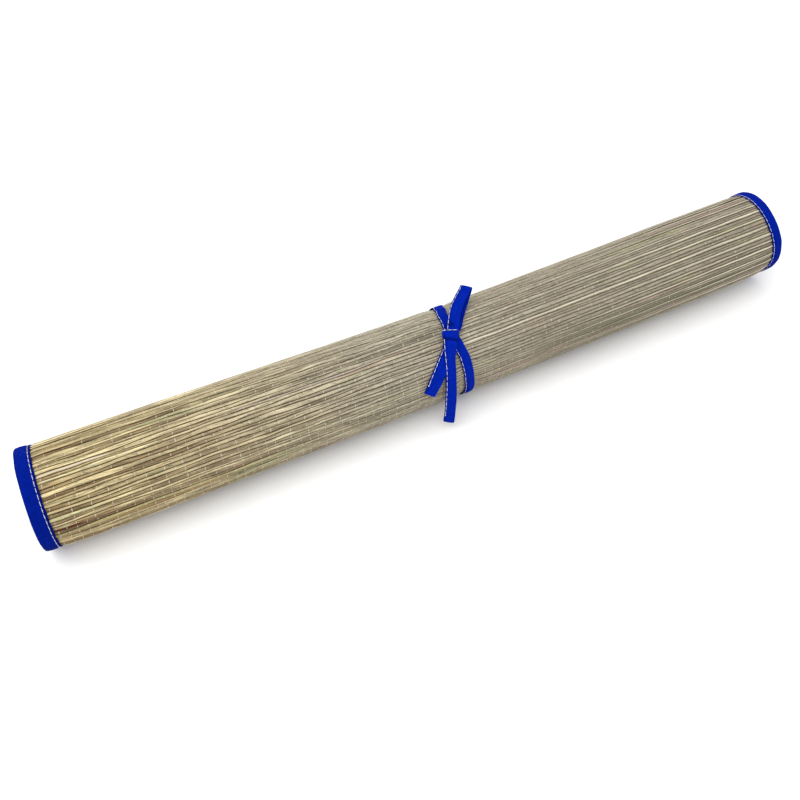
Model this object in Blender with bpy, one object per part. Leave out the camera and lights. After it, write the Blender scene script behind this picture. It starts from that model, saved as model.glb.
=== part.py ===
# A reed mat wound into a roll, its two long edges bound with blue cotton, tied with a half bow.
# Metres and degrees. The roll lies along X, its front faces -Y, and it rests on z = 0.
# An angle about the roll starts at the front and rises over the top: 0 front, 90 top, 180 back.

import math
import random
from collections import namedtuple

import bmesh
import bpy
from mathutils import Matrix, Vector

# The roll
MAT_WIDTH = 0.600
LAYER = 0.0022
TURNS = 14
END_RADIUS = 0.03625
END_ANGLE = 205.0
OUTER_TURN_START = END_ANGLE - 360.0
AXIS_ALONG = -0.0022
AXIS_SIDE = 0.00035
AXIS_HEIGHT = 0.0338
BOW = 0.0032
WAIST = 0.0013
WAIST_SPAN = 0.190
WAIST_ROUNDING = 0.020
GAP = 0.0003

# The reeds on the outer turn
REEDS = 92
REED_DEPTH = (0.00022, 0.00042)
REED_UNEVEN = 0.30
REED_SEED = 11

# The cotton binding on each end of the roll
BINDING_LEFT = 0.0104
BINDING_RIGHT = 0.0096
BINDING_PROUD = 0.0004
LEFT_SLANT = 0.0022
LEFT_SLANT_ANGLE = -39.5
RIGHT_OUT = 0.0040
RIGHT_BEND = 0.0026
RIGHT_BEND_ANGLE = 62.0
END_DISH = 0.0022
OUTER_TURN_STEPS = 40
INNER_TURN_STEPS = 20
FINE_TURNS = 2

# The tie, a narrow folded and stitched tape
TAPE_WIDTH = 0.0082
TAPE_THICK = 0.0011
TIE_ALONG = 0.0072
GROOVE = 0.0012
GROOVE_FLAT = 0.0052
GROOVE_REACH = 0.0100
BAND_STEPS = 56
BAND_FLOOR = 0.0001
KNOT_ALONG = -0.0019
KNOT_ANGLE = 65.3
KNOT_TURN = -18.6
KNOT_SIZE = (0.0114, 0.0070, 0.0044)
KNOT_LIFT = 0.0034
KNOT_ROUNDING = 0.0012
LOOP_WIDTH = 0.0082
LOOP_OPEN = 0.0020
LOOP_NECK = 0.0010
LOOP_FOLD = 0.0011
LOOP_PLUMP = 1.5
LOOP_STEPS = 8
TAIL_STEPS = 3

# Where the band runs: place along the roll at an angle about it.
Pass = namedtuple("Pass", "along angle")
BAND_PATH = (
    Pass(0.0072, -60),
    Pass(0.0070, -20),
    Pass(0.0050, 10),
    Pass(0.0039, 33),
    Pass(0.0022, 55),
    Pass(0.0008, 72),
    Pass(0.0032, 97),
    Pass(0.0066, 125),
    Pass(0.0072, 160),
)

# Where the free tape runs: place along the roll, angle about it, distance from its middle,
# and how far the tape is turned about its own run.
Stop = namedtuple("Stop", "along angle radius twist")
LONG_TAIL = (
    Stop(-0.0037, 58.8, 0.0370, 0),
    Stop(-0.0066, 50.0, 0.0370, 0),
    Stop(-0.0086, 40.0, 0.0369, 0),
    Stop(-0.0098, 30.0, 0.0367, 3),
    Stop(-0.0107, 20.0, 0.0365, 8),
    Stop(-0.0124, 2.5, 0.0386, 22),
    Stop(-0.0139, -18.0, 0.0433, 32),
    Stop(-0.0151, -31.0, 0.0492, 38),
)
SHORT_TAIL = (
    Stop(-0.0055, 57.4, 0.0350, 0),
    Stop(-0.0092, 51.5, 0.0350, 0),
    Stop(-0.0156, 40.5, 0.0350, 0),
    Stop(-0.0236, 24.0, 0.0353, 0),
    Stop(-0.0286, 8.0, 0.0368, 4),
)
LOOP_FOOT = Stop(-0.0006, 69.0, 0.0362, 0)
LOOP_TIP = Stop(0.0272, 106.4, 0.0458, 0)
LOOP_TIP_SIDE = Vector((0.626, -0.783, 0.0))

REED_COLOUR = (0.42, 0.35, 0.20, 1.0)
BLUE_COLOUR = (0.010, 0.028, 0.42, 1.0)


def clear_scene():
    for thing in list(bpy.data.objects):
        bpy.data.objects.remove(thing)


def plain_material(name, colour, roughness):
    material = bpy.data.materials.new(name)
    material.use_nodes = True
    shader = material.node_tree.nodes["Principled BSDF"]
    shader.inputs["Base Color"].default_value = colour
    shader.inputs["Roughness"].default_value = roughness
    shader.inputs["Metallic"].default_value = 0.0
    return material


def make_object(name, mesh_builder, material, smooth_under):
    mesh = bpy.data.meshes.new(name)
    bmesh.ops.recalc_face_normals(mesh_builder, faces=mesh_builder.faces)
    mesh_builder.to_mesh(mesh)
    mesh_builder.free()
    mesh.materials.append(material)
    mesh.shade_smooth()
    mesh.set_sharp_from_angle(angle=math.radians(smooth_under))
    made = bpy.data.objects.new(name, mesh)
    bpy.context.collection.objects.link(made)
    return made


def outward(angle):
    """The direction from the roll's middle at an angle about it."""
    a = math.radians(angle)
    return Vector((0.0, -math.cos(a), math.sin(a)))


def waist(along):
    """How much the tie draws the roll in, as a soft tent with its top at the tie."""
    away = math.hypot(along - TIE_ALONG, WAIST_ROUNDING) - WAIST_ROUNDING
    return WAIST * max(0.0, 1.0 - away / WAIST_SPAN)


def middle(along):
    """The roll's centre: bowed towards the front, and sagging where it is drawn in."""
    bowed = BOW * (1.0 - (2.0 * along / MAT_WIDTH) ** 2)
    return Vector((AXIS_ALONG + along, AXIS_SIDE - bowed, AXIS_HEIGHT - waist(along)))


def wound_radius(angle):
    """The winding's radius at an angle counted on through its turns, up to END_ANGLE."""
    return END_RADIUS - LAYER * (END_ANGLE - angle) / 360.0


def turn_radius(angle):
    """The outermost turn's radius at any angle about the roll."""
    return wound_radius(END_ANGLE - (END_ANGLE - angle) % 360.0)


def band_along(angle):
    """Where the band's middle lies along the roll, at an angle about it."""
    angle = (angle - OUTER_TURN_START) % 360.0 + OUTER_TURN_START
    for low, high in zip(BAND_PATH, BAND_PATH[1:]):
        if low.angle <= angle <= high.angle:
            share = (angle - low.angle) / (high.angle - low.angle)
            share = share * share * (3.0 - 2.0 * share)
            return low.along + (high.along - low.along) * share
    return TIE_ALONG


def in_groove(along, angle):
    """1 under the band, 0 away from it, and a ramp between."""
    away = abs(along - band_along(angle))
    return min(1.0, max(0.0, (GROOVE_REACH - away) / (GROOVE_REACH - GROOVE_FLAT)))


def skin(along, angle, radius):
    """A point of the roll's outside, which is flat where it rests on the floor."""
    pressed = in_groove(along, angle)
    point = middle(along) + outward(angle) * (radius - waist(along) - GROOVE * pressed)
    floor = pressed * (BAND_FLOOR + TAPE_THICK + GAP)
    point.z = max(point.z, floor)
    return point


def left_out(angle, radius):
    """How far the left end stands out at a point, because its turns lie a little askew."""
    return LEFT_SLANT * radius / END_RADIUS * math.cos(math.radians(angle - LEFT_SLANT_ANGLE))


def right_out(angle, radius):
    """The same for the right end, which is bent like a saddle."""
    bent = radius / END_RADIUS * math.cos(math.radians(2.0 * (angle - RIGHT_BEND_ANGLE)))
    return RIGHT_OUT - RIGHT_BEND * bent


def reed_edges():
    """Angles of the grooves between reeds and the depth of each reed, over one turn."""
    chance = random.Random(REED_SEED)
    widths = [1.0 + chance.uniform(-REED_UNEVEN, REED_UNEVEN) for _ in range(REEDS)]
    unit = 360.0 / sum(widths)
    angle = OUTER_TURN_START
    edges = []
    for width in widths:
        edges.append((angle, width * unit, chance.uniform(*REED_DEPTH)))
        angle += width * unit
    return edges


def reed_outline():
    """(angle, radius) round the roll, two points a reed, from the end step's foot to its top."""
    outline = []
    for start, width, depth in reed_edges():
        crest = start + width / 2.0
        outline.append((start, wound_radius(start) - depth))
        outline.append((crest, wound_radius(crest)))
    outline.append((END_ANGLE, END_RADIUS - REED_DEPTH[0]))
    return outline


def stations():
    """Functions from an angle to a place along the roll, from left to right."""
    left = -MAT_WIDTH / 2.0 + BINDING_LEFT + GAP
    right = MAT_WIDTH / 2.0 - BINDING_RIGHT - GAP
    found = [lambda angle, radius: left - left_out(angle, radius)]
    for place in (-0.190, -0.100, -0.036):
        found.append(lambda angle, radius, place=place: place)
    for offset in (-GROOVE_REACH, -GROOVE_FLAT, GROOVE_FLAT, GROOVE_REACH):
        found.append(lambda angle, radius, offset=offset: band_along(angle) + offset)
    for place in (0.045, 0.110, 0.195):
        found.append(lambda angle, radius, place=place: place)
    found.append(lambda angle, radius: right + right_out(angle, radius))
    return found


def make_mat_roll(material):
    outline = reed_outline()
    build = bmesh.new()
    rings = []
    for station in stations():
        ring = []
        for angle, radius in outline:
            ring.append(build.verts.new(skin(station(angle, radius), angle, radius)))
        rings.append(ring)
    count = len(outline)
    for one, two in zip(rings, rings[1:]):
        for i in range(count):
            j = (i + 1) % count
            build.faces.new((one[i], one[j], two[j], two[i]))
    for ring in (rings[0], rings[-1]):
        centre = sum((v.co for v in ring), Vector()) / count
        hub = build.verts.new(centre)
        for i in range(count):
            build.faces.new((hub, ring[i], ring[(i + 1) % count]))
    return make_object("mat_roll", build, material, 50)


def wound_angles():
    """Angles from the innermost point of the winding to its free end, coarser inside."""
    fine_from = END_ANGLE - 360.0 * FINE_TURNS
    inner = (TURNS - FINE_TURNS) * INNER_TURN_STEPS
    outer = FINE_TURNS * OUTER_TURN_STEPS
    first = END_ANGLE - 360.0 * TURNS
    angles = [first + 360.0 * i / INNER_TURN_STEPS for i in range(inner)]
    angles += [fine_from + 360.0 * i / OUTER_TURN_STEPS for i in range(outer + 1)]
    return angles


def make_binding(name, material, side, width, stands_out):
    """A bound edge as it lies when wound: one flat strip in a spiral."""
    build = bmesh.new()
    sections = []
    end = side * MAT_WIDTH / 2.0
    for angle in wound_angles():
        outer = wound_radius(angle) + BINDING_PROUD
        inner = outer - LAYER + GAP
        dish = END_DISH * (1.0 - outer / END_RADIUS) ** 2
        section = []
        for radius, inset in ((outer, dish), (outer, width), (inner, width), (inner, dish)):
            along = end - side * (inset - stands_out(angle, radius))
            point = middle(along) + outward(angle) * radius
            point.z = max(point.z, 0.0)
            section.append(build.verts.new(point))
        sections.append(section)
    for one, two in zip(sections, sections[1:]):
        for i in range(4):
            j = (i + 1) % 4
            build.faces.new((one[i], one[j], two[j], two[i]))
    build.faces.new(sections[0])
    build.faces.new(sections[-1])
    return make_object(name, build, material, 35)


def band_radius(angle):
    """The band's inner radius. It spans the step at the mat's free end in a straight line."""
    radius = turn_radius(angle)
    past = (angle - END_ANGLE) % 360.0
    low = turn_radius(END_ANGLE + 1.0)
    reach = math.degrees(math.acos(low / END_RADIUS))
    if past < reach:
        radius = max(radius, low / math.cos(math.radians(reach - past)))
    return radius


def make_band(material):
    build = bmesh.new()
    sections = []
    half = TAPE_WIDTH / 2.0
    inside = GAP
    outside = GAP + TAPE_THICK
    for i in range(BAND_STEPS):
        angle = END_ANGLE + 360.0 * i / BAND_STEPS
        along = band_along(angle)
        bed = band_radius(angle) - waist(along) - GROOVE
        section = []
        for side, lift in ((-half, inside), (half, inside), (half, outside), (-half, outside)):
            point = middle(along) + outward(angle) * (bed + lift)
            point.x += side
            point.z = max(point.z, BAND_FLOOR + outside - lift)
            section.append(build.verts.new(point))
        sections.append(section)
    for one, two in zip(sections, sections[1:] + sections[:1]):
        for i in range(4):
            j = (i + 1) % 4
            build.faces.new((one[i], one[j], two[j], two[i]))
    return make_object("tie", build, material, 35)


def place_of(stop):
    return middle(stop.along) + outward(stop.angle) * stop.radius


def smooth_value(before, start, end, after, t):
    """A number on the smooth curve from start to end that also suits its neighbours."""
    slope = end - before
    bend = 2 * before - 5 * start + 4 * end - after
    swing = 3 * start - before - 3 * end + after
    return start + 0.5 * (slope * t + bend * t**2 + swing * t**3)


def smooth_between(stops, steps):
    """Points, angles and twists on a smooth curve through the stops, steps for each stretch."""
    rows = [(*place_of(s), s.angle, s.twist) for s in stops]
    rows = [rows[0], *rows, rows[-1]]
    found = []
    for four in zip(rows, rows[1:], rows[2:], rows[3:]):
        for k in range(steps):
            found.append([smooth_value(*values, k / steps) for values in zip(*four)])
    found.append(rows[-1])
    return found


def sweep(build, centres, sides, faces_out, width, thick):
    """A closed tape along centres, its width along sides and its thickness along faces_out."""
    sections = []
    for centre, side, out in zip(centres, sides, faces_out):
        across = side * (width / 2.0)
        up = out * (thick / 2.0)
        corners = (-across - up, across - up, across + up, up - across)
        sections.append([build.verts.new(centre + corner) for corner in corners])
    for one, two in zip(sections, sections[1:]):
        for i in range(4):
            j = (i + 1) % 4
            build.faces.new((one[i], one[j], two[j], two[i]))
    build.faces.new(sections[0])
    build.faces.new(sections[-1])


def make_tail(name, material, stops):
    """A free end of the tape, flat on the roll near the knot and hanging clear below."""
    rows = smooth_between(stops, TAIL_STEPS)
    centres = [Vector(row[:3]) for row in rows]
    sides = []
    faces_out = []
    for i, (*_, angle, twist) in enumerate(rows):
        run = (centres[min(i + 1, len(rows) - 1)] - centres[max(i - 1, 0)]).normalized()
        out = outward(angle)
        out = (out - run * out.dot(run)).normalized()
        out = Matrix.Rotation(math.radians(twist), 3, run) @ out
        sides.append(run.cross(out))
        faces_out.append(out)
    build = bmesh.new()
    sweep(build, centres, sides, faces_out, TAPE_WIDTH, TAPE_THICK)
    return make_object(name, build, material, 35)


def make_loop(material):
    """The half bow's loop: out from the knot, round a tight fold and back."""
    foot = place_of(LOOP_FOOT)
    tip = place_of(LOOP_TIP)
    run = (tip - foot).normalized()
    long = (tip - foot).length
    side = (LOOP_TIP_SIDE - run * LOOP_TIP_SIDE.dot(run)).normalized()
    up = side.cross(run)
    shares = [k / LOOP_STEPS for k in range(LOOP_STEPS)]

    def leg(direction, shares):
        rises = [
            LOOP_NECK + (LOOP_FOLD - LOOP_NECK) * share
            + LOOP_OPEN * math.sin(math.pi * share) ** LOOP_PLUMP
            for share in shares
        ]
        return [
            (foot + run * (share * long) + up * (direction * rise), up * direction)
            for share, rise in zip(shares, rises)
        ]

    fold = []
    for turn in (-90, -45, 0, 45, 90):
        a = math.radians(turn)
        out = run * math.cos(a) + up * math.sin(a)
        fold.append((tip + out * LOOP_FOLD, out))
    centres, faces_out = zip(*(leg(-1.0, shares) + fold + leg(1.0, shares[::-1])))
    build = bmesh.new()
    sweep(build, centres, [side] * len(centres), faces_out, LOOP_WIDTH, TAPE_THICK)
    return make_object("loop_form", build, material, 35)


def make_knot(material):
    """The short wrap of tape that holds the band, the loop and the tails together."""
    build = bmesh.new()
    bmesh.ops.create_cube(build, size=1.0)
    bmesh.ops.scale(build, vec=KNOT_SIZE, verts=build.verts)
    bmesh.ops.bevel(
        build, geom=build.edges[:], offset=KNOT_ROUNDING, segments=3, profile=0.6, affect="EDGES"
    )
    out = outward(KNOT_ANGLE)
    along = Vector((1.0, 0.0, 0.0))
    along = Matrix.Rotation(math.radians(KNOT_TURN), 3, out) @ along
    across = out.cross(along)
    lift = turn_radius(KNOT_ANGLE) - waist(KNOT_ALONG) - GROOVE + KNOT_LIFT
    place = middle(KNOT_ALONG) + out * lift
    turn = Matrix((along, across, out)).transposed().to_4x4()
    bmesh.ops.transform(build, matrix=Matrix.Translation(place) @ turn, verts=build.verts)
    return make_object("knot_form", build, material, 35)


def make_tie(material):
    """The tape round the roll with its knot and loop, joined into one closed body."""
    tie = make_band(material)
    for form in (make_knot(material), make_loop(material)):
        form.hide_render = True
        form.display_type = "WIRE"
        union = tie.modifiers.new("join_" + form.name, "BOOLEAN")
        union.operation = "UNION"
        union.solver = "EXACT"
        union.object = form
    return tie


def main():
    clear_scene()
    reed = plain_material("reed", REED_COLOUR, 0.6)
    blue = plain_material("blue_cotton", BLUE_COLOUR, 0.8)
    make_mat_roll(reed)
    make_binding("binding_left", blue, -1.0, BINDING_LEFT, left_out)
    make_binding("binding_right", blue, 1.0, BINDING_RIGHT, right_out)
    make_tie(blue)
    make_tail("tie_tail_long", blue, LONG_TAIL)
    make_tail("tie_tail_short", blue, SHORT_TAIL)


main()
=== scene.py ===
# The looks of a rolled reed mat: its reeds and weaving threads, its bound edges, its tie and sewing.
# Metres and degrees. Each piece is modelled flat, as it is woven or sewn, and then laid on the roll.
# An angle about the roll starts at the front and rises over the top: 0 front, 90 top, 180 back.
import math
import random
from collections import namedtuple

import bmesh
import bpy
import numpy as np
from bpy.props import FloatProperty, FloatVectorProperty, PointerProperty
from mathutils import Matrix, Vector


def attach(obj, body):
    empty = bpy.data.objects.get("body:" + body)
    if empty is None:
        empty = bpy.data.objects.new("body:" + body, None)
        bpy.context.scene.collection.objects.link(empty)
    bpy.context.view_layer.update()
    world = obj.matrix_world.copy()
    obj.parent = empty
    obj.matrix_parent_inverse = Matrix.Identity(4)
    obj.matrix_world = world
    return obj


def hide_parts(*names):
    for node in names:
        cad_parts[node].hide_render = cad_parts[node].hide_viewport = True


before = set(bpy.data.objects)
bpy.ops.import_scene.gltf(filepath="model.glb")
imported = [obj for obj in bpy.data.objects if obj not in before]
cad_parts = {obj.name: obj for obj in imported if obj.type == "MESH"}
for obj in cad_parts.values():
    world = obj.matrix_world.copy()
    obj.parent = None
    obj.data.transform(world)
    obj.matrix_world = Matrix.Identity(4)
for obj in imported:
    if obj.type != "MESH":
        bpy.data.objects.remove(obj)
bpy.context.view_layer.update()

bl_info = {
    "name": "Rolled Reed Mat",
    "version": (1, 0, 0),
    "blender": (4, 5, 0),
    "location": "3D View > Sidebar > Reed Mat",
    "description": "Dresses the solids of a rolled reed mat with reeds, threads, cloth and sewing",
    "category": "Add Mesh",
}

# The roll, as its solids are built
MAT_WIDTH = 0.600
LAYER = 0.0022
TURNS = 14
END_RADIUS = 0.03625
END_ANGLE = 205.0
OUTER_TURN_START = END_ANGLE - 360.0
AXIS_ALONG = -0.0022
AXIS_SIDE = 0.00035
AXIS_HEIGHT = 0.0338
BOW = 0.0032
WAIST = 0.0013
WAIST_SPAN = 0.190
WAIST_ROUNDING = 0.020
LEFT_SLANT = 0.0022
LEFT_SLANT_ANGLE = -39.5
RIGHT_OUT = 0.0040
RIGHT_BEND = 0.0026
RIGHT_BEND_ANGLE = 62.0
ENDS_FROM = 0.190
END_DISH = 0.0022
END_EASE = 0.0019
END_EASE_ANGLE = -60.0
END_EASE_FROM = 0.268
END_EASE_SPAN = 0.032
BINDING_LEFT = 0.0104
BINDING_RIGHT = 0.0096

# The reeds of the outer turn, with how much they wander, swell and thin out under the bindings.
# A wave, here and below, is its longest length and its height.
REEDS = 92
REED_SEED = 11
REED_UNEVEN = 0.30
REED_THICK = 0.0016
REED_DROP = 0.00075
REED_FILL = 0.93
REED_LOW = (0.00004, 0.00036)
REED_WANDER = 0.24
REED_WANDER_LENGTH = 0.11
REED_RIDGE = 0.46
REED_RIDGE_LENGTH = 0.048
REED_SWELL = (0.085, 0.00011)
REED_PINCH = 0.00050
REED_PINCH_LENGTH = 0.0032
LOW_SEED = 100
RIDGE_SEED = 200
TONE_SEED = 400
WANDER_SEED = 1000
STRAIGHTENING = 0.6
STRAIGHTENING_SPAN = (-0.06, 0.10)
UNDER_BINDING = 0.0012
REED_START = -MAT_WIDTH / 2.0 + BINDING_LEFT - UNDER_BINDING
REED_END = MAT_WIDTH / 2.0 - BINDING_RIGHT + UNDER_BINDING
FRONT_ANGLES = (-50.0, 150.0)

# The ribs that a few reeds make together, fullest at the sewn ends, with painted light on their crests
# and painted shade in their valleys. To the right a raised reed has painted shade underneath, and low
# down there the ribs' painted light and shade are stronger and their valleys take more painted shade.
RIB_SEED = 3
RIB_REEDS = (2, 3)
RIB_STRENGTH = (0.5, 1.0)
RIB_DEPTH = 0.00060
RIB_LEAST = 0.08
RIB_SPAN = (0.08, 0.29)
RIB_PAINTED_LIGHT = 0.20
LEFT_RIB_PAINTED_LIGHT = 0.28
LOW_RIB_PAINTED_LIGHT = 0.9
LOW_VALLEY_PAINTED_SHADE = 0.55
LOW_SPAN = (0.05, 0.15)
LOW_ANGLES = (40.0, -20.0)
RIGHT_SPAN = (0.08, 0.24)
UNDERSIDE = (0.35, 0.75)
UNDERSIDE_PAINTED_SHADE = 0.8

# The tone that all reeds take along the roll, the painted shade and light they take at angles about it,
# darker below and a little lighter on top, and each one's own tone to the left
TONE_ALONG = ((-0.30, -0.02), (-0.20, 0.0), (-0.12, 0.08), (0.0, 0.06), (0.08, -0.08), (0.30, -0.08))
PAINTED_SHADE_ROUND = ((-60.0, -0.30), (-30.0, -0.22), (10.0, -0.05), (90.0, 0.00), (130.0, 0.08))
OWN_TONE = 0.24

# A painted highlight: the thin pale line on the crests to the right. PALE_REED has it from the tie on.
CREST_HIGHLIGHT_STRENGTH = 0.95
HIGHLIGHT_LEAST_RIB = 0.45
CREST_HIGHLIGHT_PLACE = 0.56
CREST_HIGHLIGHT_EDGES = (0.07, 0.20)
PALE_REED = 52
PALE_SPAN = (0.010, 0.225)
PALE_FADE = 0.02
PALE_HIGHLIGHT_STRENGTH = 0.72

# The reeds' colours, from dark to light tones, straw at the left and grey at the right
STRAW_TONES = (
    (0.05, (0.186, 0.122, 0.054)),
    (0.32, (0.343, 0.259, 0.124)),
    (0.55, (0.470, 0.381, 0.198)),
    (0.78, (0.588, 0.488, 0.262)),
    (1.0, (0.708, 0.628, 0.414)),
)
GREY_TONES = (
    (0.05, (0.170, 0.140, 0.100)),
    (0.32, (0.250, 0.218, 0.160)),
    (0.55, (0.325, 0.292, 0.218)),
    (0.78, (0.410, 0.374, 0.280)),
    (1.0, (0.520, 0.475, 0.360)),
)
ROSY = (0.42, 0.30, 0.21, 1.0)
GREENISH = (0.30, 0.31, 0.16, 1.0)
# PAINTED_CREST_HIGHLIGHT is the colour of the painted highlight on the crests
PAINTED_CREST_HIGHLIGHT = (0.70, 0.63, 0.48, 1.0)
# Painted shade in the gaps between the reeds, straw to the left and grey to the right
STRAW_GAP_SHADE = (0.17, 0.100, 0.045, 1.0)
GREY_GAP_SHADE = (0.36, 0.33, 0.28, 1.0)
WHITE = (1.0, 1.0, 1.0, 1.0)

# How often the reeds' patterns change, along a reed and across it or from reed to reed
PATCH_SCALE = (26.0, 7.31)
HUE_SCALE = (8.0, 3.17)
STRAND_SCALE = (34.0, 3.0)
STRAND_SLANT = 44.0
STREAK_SCALE = (60.0, 6.5)
SPECK_SCALE = (380.0, 1.7)

# How much darker and lighter they make a reed
STRONG_STRANDS = (0.57, 1.28)
CALM_STRANDS = (0.86, 1.12)
STREAKS = (0.62, 1.22)
SPECKS = (1.06, 0.62)

# The wound turns under the reeds
CORE_SIDES = 96
CORE_LENGTHS = (5, 8)
CORE_REED_ANGLE = 4.0
CORE_DEPTH = 0.0015
CORE_HOLE = 0.0056

# Reeds that differ from the rest, and low front rows given painted shade: where they start and end along
# the roll, how much of their width shows it, and their colour with its strength
Odd = namedtuple("Odd", "reed start end width colour strength")
ODD_AND_SHADED_REEDS = (
    Odd(41, -0.310, -0.270, 1.00, (0.085, 0.013, 0.003), 1.00),
    Odd(42, -0.280, -0.250, 0.60, (0.16, 0.050, 0.014), 0.80),
    Odd(42, -0.310, -0.286, 0.30, (0.12, 0.030, 0.008), 0.90),
    Odd(57, -0.310, -0.245, 0.35, (0.66, 0.56, 0.46), 0.60),
    Odd(58, -0.120, -0.007, 0.60, (0.060, 0.045, 0.030), 0.75),
    Odd(66, 0.190, 0.300, 1.00, (0.40, 0.28, 0.23), 0.60),
    Odd(65, 0.190, 0.300, 0.60, (0.09, 0.065, 0.050), 0.70),
    Odd(56, -0.160, -0.060, 0.60, (0.44, 0.37, 0.35), 0.50),
    Odd(47, -0.300, -0.100, 0.40, (0.66, 0.55, 0.32), 0.45),
    Odd(39, -0.270, -0.140, 0.80, (0.36, 0.33, 0.14), 0.45),
    Odd(38, -0.300, -0.180, 0.90, (0.30, 0.20, 0.08), 0.55),
    Odd(37, 0.020, 0.300, 0.80, (0.30, 0.23, 0.18), 0.55),
    # The dark grey reeds from here on, 32 to 43 to the right of the tie, are painted shade on the roll's
    # lowest front rows, all but reed 41's pale mark
    Odd(39, 0.120, 0.300, 0.90, (0.13, 0.13, 0.07), 0.60),
    Odd(43, 0.090, 0.240, 0.90, (0.17, 0.16, 0.11), 0.50),
    Odd(41, 0.200, 0.300, 0.45, (0.50, 0.45, 0.33), 0.60),
    Odd(41, 0.060, 0.215, 1.00, (0.16, 0.15, 0.10), 0.55),
    Odd(40, 0.080, 0.250, 1.00, (0.15, 0.15, 0.09), 0.65),
    Odd(38, 0.090, 0.250, 1.00, (0.15, 0.14, 0.10), 0.60),
    Odd(36, 0.070, 0.240, 1.00, (0.20, 0.19, 0.13), 0.50),
    Odd(34, 0.080, 0.250, 1.00, (0.14, 0.14, 0.09), 0.65),
    Odd(33, 0.100, 0.230, 1.00, (0.20, 0.18, 0.14), 0.50),
    Odd(32, 0.060, 0.240, 1.00, (0.18, 0.16, 0.13), 0.65),
    Odd(42, 0.160, 0.300, 0.90, (0.14, 0.13, 0.08), 0.60),
)

# The thin threads that the reeds are woven on
WARP_PITCH = 0.0060
WARP_THICK = 0.00046
WARP_FIRST = 0.0022
WARP_SHIFT = 0.0004
WARP_SLANT = 0.0001
WARP_STOUT = (0.7, 1.15)
WARP_RAISED = 0.00008
WARP_SUNK_RIGHT = 0.00019
WARP_RIGHT_SPAN = (-0.05, 0.15)
WARP_SINK = (-0.00030, 0.00012)
WARP_SEED = 5

# The bound edges: inset from the fold, lift above the winding and painted shade, round the folded cloth
Corner = namedtuple("Corner", "inset lift shade")
CLOTH_PROUD = 0.0005
SEAM_LIFT = -0.0002
LEFT_STITCH = 0.0016
RIGHT_STITCH = 0.0010
BINDING_PUCKER = 0.00010
BINDING_PUCKER_LENGTH = 0.0045
BINDING_RIPPLE = 0.00035
BINDING_RIPPLE_ANGLES = (520.0, 95.0)
BINDING_FOLD_REACH = 0.0035
BINDING_SEWN_REACH = 0.0030
BINDING_EDGE_REACH = 0.0012
BINDING_CLOTH_WAVE = (0.02, 0.00008)
BINDING_EDGE_WAVE = (0.012, 0.00022)
EDGE_SEWING_LIFT = 0.00008
OUTER_TURN_CUTS = 0.36

# How the painted shade of a bound edge changes with the angle about the roll: darker below, a little
# lighter on top
PAINTED_BINDING_SHADE = ((-50.0, -0.36), (-5.0, -0.08), (60.0, 0.0), (120.0, 0.10))

# The tape of the tie. Its sewn dip is placed by shares of its half width and thickness.
TAPE_WIDTH = 0.0082
TAPE_THICK = 0.0011
TAPE_CURL = 0.00024
TAPE_DIP = 0.16
TAPE_DIP_PLACE = 0.70
TAPE_DIP_WIDE = 0.13
TAPE_FLUTTER = (0.016, 0.00016)
TAPE_SWELL = (0.021, 0.02)
TAPE_SIDE_POWER = 0.40
TAPE_FACE_POWER = 0.55
CREASE_LENGTH = 0.0065
CREASE_SHADE_AT = 0.0066
CREASE_SHADE_LENGTH = 0.0016
UNDER_KNOT = 0.0030
UNDER_KNOT_LENGTH = 0.0011
FLOOR_SHADE_HEIGHTS = (0.040, 0.005)
SEWING_LIFT = 0.00014

# How uneven the stitches are, by shares of their pitch and thickness, and the last one's knot
STITCH_FILL = 0.90
STITCH_LEAN = (0.03, 0.16)
STITCH_SHIFT = 0.028
STITCH_SIZE = (0.90, 1.10)
END_KNOT_LONG = 0.30
END_KNOT_STOUT = 2.2

# Where the tie lies
TIE_ALONG = 0.0072
GROOVE = 0.0012
GROOVE_FLAT = 0.0052
GROOVE_REACH = 0.0100
BAND_FLOOR = 0.0001
GAP = 0.0003
KNOT_ALONG = -0.0006
KNOT_ANGLE = 68.2
KNOT_TURN = -18.6
KNOT_LONG = 0.0120
KNOT_HIGH = 0.0044
KNOT_WIDTH = 0.0055
KNOT_LIFT = 0.0034
KNOT_SIDE_POWER = 0.62
KNOT_FACE_POWER = 0.80
KNOT_STEPS = 48
BAND_STEPS = 240
TAIL_STEPS = 8
LONG_TUCK = 0.0055
SHORT_TUCK = 0.0050
LOOP_OPEN = 0.0020
LOOP_NECK = 0.0010
LOOP_FOLD = 0.0011
LOOP_PLUMP = 1.5

Pass = namedtuple("Pass", "along angle")
BAND_PATH = (
    Pass(0.0072, -110),
    Pass(0.0100, -70),
    Pass(0.0083, -42),
    Pass(0.0073, -20),
    Pass(0.0055, 10),
    Pass(0.0045, 33),
    Pass(0.0026, 55),
    Pass(0.0009, 72),
    Pass(0.0032, 97),
    Pass(0.0062, 117),
    Pass(0.0092, 135),
    Pass(0.0094, 155),
    Pass(0.0072, 195),
)
Stop = namedtuple("Stop", "along angle radius twist")
LONG_TAIL = (
    Stop(-0.0037, 58.8, 0.0370, 0),
    Stop(-0.0066, 50.0, 0.0370, 0),
    Stop(-0.0086, 40.0, 0.0369, 0),
    Stop(-0.0098, 30.0, 0.0367, 3),
    Stop(-0.0107, 20.0, 0.0365, 8),
    Stop(-0.0124, 2.5, 0.0386, 22),
    Stop(-0.0139, -18.0, 0.0433, 32),
    Stop(-0.0151, -31.0, 0.0492, 38),
)
SHORT_TAIL = (
    Stop(-0.0042, 57.4, 0.0352, 0),
    Stop(-0.0070, 51.5, 0.0354, 3),
    Stop(-0.0133, 40.5, 0.0359, 8),
    Stop(-0.0222, 24.0, 0.0365, 11),
    Stop(-0.0294, 10.3, 0.0376, 12),
)
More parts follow.
